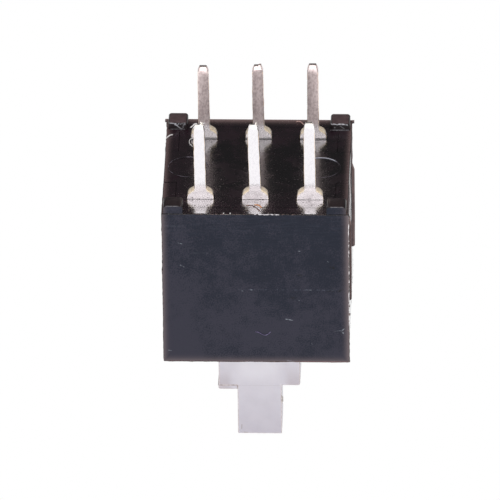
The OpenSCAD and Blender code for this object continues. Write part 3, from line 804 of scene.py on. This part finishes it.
def make_cover():
    skin, rubbed, glossy = range(3)
    piece = worked_copy("cover", "cover_moulding", "housing", "cover_plastic",
                        wall_skin, edge_nylon(), base_gloss)
    # An edge further out than this is one of the outer walls'
    outer = HALF - 0.12

    def outer_edge(middle, way):
        on_side = abs(middle.x) > outer or abs(middle.y) > outer
        at_end = middle.z < RIM_Z + ON_PLANE or middle.z > TOP_Z - 0.2
        corner = abs(middle.x) > outer and abs(middle.y) > outer
        by_lug = abs(middle.x) > HALF - ON_PLANE and abs(middle.y) < 1.5 and middle.z < RIM_Z + 0.9
        on_wall = abs(middle.x) < HALF + ON_PLANE and abs(middle.y) < HALF + ON_PLANE
        return on_side and (at_end or corner or by_lug) and on_wall

    def by_edge(place):
        """True close to where two of the outer faces meet."""
        near = (abs(place.x) > HALF - BY_EDGE, abs(place.y) > HALF - BY_EDGE,
                place.z > TOP_Z - BY_EDGE or place.z < RIM_Z + BY_EDGE)
        return sum(near) > 1

    # The rim is as glossy as the base beside it
    for face in piece.data.polygons:
        if face.normal.z < -0.9 and face.center.z < (RIM_Z + ON_PLANE) * MM:
            face.material_index = glossy
    soften(piece, EDGE_W, outer_edge)

    def outer_face(face):
        """True for the roof and the outside of the walls, which lean in by a hundredth or two."""
        middle = face.calc_center_bounds() / MM
        on_wall = HALF - 2 * ON_PLANE < max(abs(middle.x), abs(middle.y)) < HALF + ON_PLANE
        on_roof = middle.z > TOP_Z - ON_PLANE / 2
        return (on_wall or on_roof) and face.material_index == skin

    # A narrow margin keeps the middle of each wall flat while its edges are roughened
    margin, step, whole_wall = 0.07, 0.13, MM ** 2
    edit(piece, "FACE")
    mesh = bmesh.from_edit_mesh(piece.data)
    for face in mesh.faces:
        face.select = outer_face(face) and face.calc_area() > whole_wall
    bmesh.update_edit_mesh(piece.data)
    bpy.ops.mesh.inset(thickness=margin * MM, depth=0, use_even_offset=True)
    done()

    def marginal(face):
        return face.material_index == rubbed or outer_face(face) and face.calc_area() < whole_wall

    # The notches stop short of the corners
    reach = 4.1
    for axis, low, high in ((0, -reach, reach), (1, -reach, reach),
                            (2, RIM_Z + 0.1, TOP_Z - 0.1)):
        notch_along(piece, axis, low, high, step, marginal)
    roughen(piece, 0.16, 0.022, by_edge, seed=1)

    def nibbled(place):
        """True on the front edge away from the ribs, between two heights."""
        return place.x > HALF - BY_EDGE and place.y < -HALF + BY_EDGE and 1 < place.z < 4.2

    roughen(piece, 0.11, 0.03, nibbled, seed=2)
    burr_out, flash_out = 0.055, 0.028
    for vertex in piece.data.vertices:
        x, y = vertex.co.x / MM, vertex.co.y / MM
        # The burr down the front edge by the ribs stands a little proud
        if x < -HALF + BY_EDGE and y < -HALF + BY_EDGE:
            vertex.co.x -= burr_out * MM
        # The far rib stands out a little more, with the flash on it
        elif x < -HALF - 0.04 and 2 < y < 3:
            vertex.co.x -= flash_out * MM
    even_shading(piece)


def make_base():
    feet, ring, front = 1, 2, 3
    piece = worked_copy("base", "base_moulding", "housing", "base_plastic",
                        base_gloss, feet_nylon(), ring_nylon(), wall_skin)
    for face in piece.data.polygons:
        if face.center.z < (RIM_Z - 0.05) * MM:
            face.material_index = front if face.center.y < -(HALF - 0.1) * MM else feet

    def off_ring(place):
        """How far a place is from the circle of the nearer ejector mark."""
        return min(math.hypot(math.hypot(place.x - x, place.y) - RING_R, place.z - RIM_Z)
                   for x in RING_X)

    plate_z = RIM_Z - ON_PLANE / 2
    # The feet's edges, then the side lugs', and then the lips of the ejector marks
    soften(piece, 0.014, lambda m, w: -ON_PLANE < m.z < plate_z)
    soften(piece, 0.03, lambda m, w: abs(m.x) > HALF - 0.05 and m.z > plate_z and abs(m.y) < 1.45)
    soften(piece, 0.026, lambda m, w: off_ring(m) < 0.006, material=ring)
    lip, on_side, closed, gaping = 0.018, 0.004, 0.025, 0.06
    for vertex in piece.data.vertices:
        if off_ring(vertex.co / MM) < lip:
            vertex.co.z -= lip * MM
        # The front row's slots close up on the pins, and the back row's gape
        if abs(vertex.co.y / MM - FRONT_SLOT_Y) < on_side:
            vertex.co.y += closed * MM
        if abs(vertex.co.y / MM - BACK_SLOT_Y) < on_side:
            vertex.co.y -= gaping * MM
    even_shading(piece)


def make_plunger():
    piece = worked_copy("plunger", "plunger_moulding", "button", "plunger_plastic", plunger_nylon(),
                        plunger_edge())
    soften(piece, EDGE_W, lambda m, w: m.z > TOP_Z)
    even_shading(piece)


def narrow_tip(piece, longer, lower):
    """Draws a pin's end in, and moves the start of its side and face tapers, in millimetres."""
    at_tip, at_side_taper, at_face_taper = 0.05, 0.24, 0.4
    # How much of their width the end and the start of the side taper keep
    end_share, side_share = 0.84, 0.94
    low = min(vertex.co.z for vertex in piece.data.vertices)
    ends = [vertex.co for vertex in piece.data.vertices if vertex.co.z < low + at_tip * MM]
    middle = sum(end.x for end in ends) / len(ends)
    for vertex in piece.data.vertices:
        height = (vertex.co.z - low) / MM
        if height < at_tip:
            vertex.co.x = middle + (vertex.co.x - middle) * end_share
        elif height < at_side_taper:
            vertex.co.x = middle + (vertex.co.x - middle) * side_share
            vertex.co.z -= lower * MM
        elif height < at_face_taper:
            vertex.co.z += longer * MM


def make_terminals():
    silvers = {
        "front": terminal_silver("silver_plate_rolled", "#fbf8fb", "#f5f2f6", rough=0.12, kept=0.15,
                                 film=(0.09, 0.3), worked=0.5),
        "back": terminal_silver("silver_plate_dulled", "#f2e2e1", "#cebbba", rough=0.44, kept=0.24,
                                film=(0.33, 0.3), worked=1.0),
    }
    sheared = sheared_silver()
    for row, silver in silvers.items():
        for kind in ("common", "closed", "open"):
            node = f"terminal_{kind}_{row}"
            piece = worked_copy(node, node + "_strip", "housing", "terminal_metal", silver, sheared)
            front = row == "front"
            narrow_tip(piece, 0.12 if front else 0.0, 0.0 if front else 0.04)
            low = min(vertex.co.z for vertex in piece.data.vertices) / MM
            taper_z, shoulder_z, step = low + 0.3, -0.7, 0.12
            # Upright edges of the tapers, the tip's own edges, and then those of the pin
            soften(piece, EDGE_W, lambda m, w: m.z < taper_z and abs(w.z) > 0.5)
            soften(piece, 0.06 if front else 0.03, lambda m, w: m.z < low + 0.03, segments=3)
            soften(piece, 0.02, lambda m, w: taper_z < m.z < RIM_Z - ON_PLANE and abs(w.y) < 0.3)
            # Shearing leaves the pin's two sides a little uneven
            notch_along(piece, 2, low + 0.5, shoulder_z - 0.05, step, lambda f: True)
            roughen(piece, 0.22, 0.016, lambda v: low + 0.45 < v.z < shoulder_z, seed=3,
                    along=(1, 0, 0))
            even_shading(piece)


def make_lint():
    """Threads, crumbs and flash that lie on the switch."""
    white = fibre_material("white_lint", "#f2efee", "#cfcaca")
    gather("white_threads", "housing", [
        fibre([(4.23, 2.50, 0.33), (4.12, 2.64, 0.30), (4.05, 2.74, 0.31), (3.96, 2.83, 0.34)],
              0.07, white),
        fibre([(3.01, 2.54, 0.34), (3.14, 2.42, 0.32), (3.18, 2.18, 0.33), (3.13, 1.92, 0.32),
               (3.0, 1.77, 0.34)], 0.035, white),
        fibre([(2.91, -2.80, -3.33), (2.81, -2.78, -3.41), (2.73, -2.76, -3.51),
               (2.64, -2.72, -3.50)], 0.05, white),
        fibre([(2.80, -2.84, -3.30), (2.74, -2.82, -3.42), (2.62, -2.74, -3.50)], 0.035, white),
        fibre([(2.42, -2.75, -3.46), (2.34, -2.76, -3.49), (2.27, -2.74, -3.56)], 0.04, white),
        *scatter(chip(white), [((1.41, -4.2, 0.36), (0.06, 0.05, 0.05)),
                               ((1.11, -4.2, 0.36), (0.06, 0.05, 0.05))])])
    amber = fibre_material("amber_fibre", "#d98a4e", "#f0c09a")
    gather("amber_threads", "housing", [
        fibre([(0.02, -3.46, 0.34), (-0.10, -3.49, 0.33), (-0.24, -3.56, 0.33),
               (-0.30, -3.68, 0.36)], 0.07, amber)])
    brown = fibre_material("brown_fibre", "#5a3a34", "#8a5c4c")
    gather("brown_threads", "housing", [
        fibre([(0.39, -3.47, 0.37), (0.16, -3.52, 0.33), (-0.05, -3.70, 0.33),
               (-0.24, -3.98, 0.37)], 0.05, brown)])
    # Too fine to show again in the silver beside them
    for threads in ("amber_threads", "brown_threads"):
        bpy.data.objects[threads].visible_glossy = False
    pink = fibre_material("pink_fibre", "#c98f8a", "#f0d0c4")
    gather("pink_threads", "housing", [
        fibre([(-1.68, 4.12, 0.36), (-1.80, 4.07, 0.30), (-1.90, 4.0, 0.30), (-2.04, 3.85, 0.36)],
              0.04, pink)])
    violet = fibre_material("violet_fibre", "#4d4168", "#6a5f86")
    gather("violet_threads", "housing", [
        fibre([(0.02, -4.235, 6.62), (-0.13, -4.262, 6.60), (-0.28, -4.262, 6.74),
               (-0.45, -4.262, 6.79), (-0.60, -4.262, 6.70), (-0.68, -4.235, 6.62)], 0.03, violet)])
    black = fibre_material("black_flash", "#5d4f4e", "#8a7a78")
    gather("flash_crumbs", "housing", scatter(chip(black), [
        ((-4.27, -4.2, 5.23), (0.09, 0.1, 0.16)),
        ((-4.28, -4.2, 5.68), (0.1, 0.1, 0.12)),
        ((-4.24, -4.2, 6.03), (0.07, 0.1, 0.14)),
        ((-4.24, -4.2, 6.53), (0.08, 0.1, 0.12)),
        ((-4.24, -4.2, 8.17), (0.12, 0.12, 0.08))]))
    grime = fibre_material("grey_grime", "#a8a09c", "#d2cbc8")
    crumb = scatter(chip(grime), [((-1.07, -1.0, 12.16), (0.1, 0.08, 0.34))])
    gather("post_grime", "button", crumb)


make_cover()
make_base()
make_plunger()
make_terminals()
make_lint()


def make_spring():
    """The return spring, which the button squeezes as it goes down; here it is copied with even
    shading and a mesh of its own.
    """
    steel = spring_metal("spring_steel_drawn", "#b9b9bb", 0.2)
    piece = worked_copy("return_spring", "return_spring_coil", "housing", "spring_steel", steel)
    even_shading(piece, 40)
    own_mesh(piece)


make_spring()

# Parts inside, which show through the window, the opening and the slots
inside = {
    "latch_pin": spring_metal("steel_wire_bright", "#aeb0b4", 0.18),
    "latch_leaf": spring_metal("stainless_strip_bright_rolled", "#bdbdbf", 0.2, 0.0006),
    "contact_front": spring_metal("silvered_bronze_strip", "#d8c9a8", 0.25),
}
inside["contact_back"] = inside["contact_front"]
for node, material in inside.items():
    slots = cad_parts[node].data.materials
    slots.clear()
    slots.append(material)
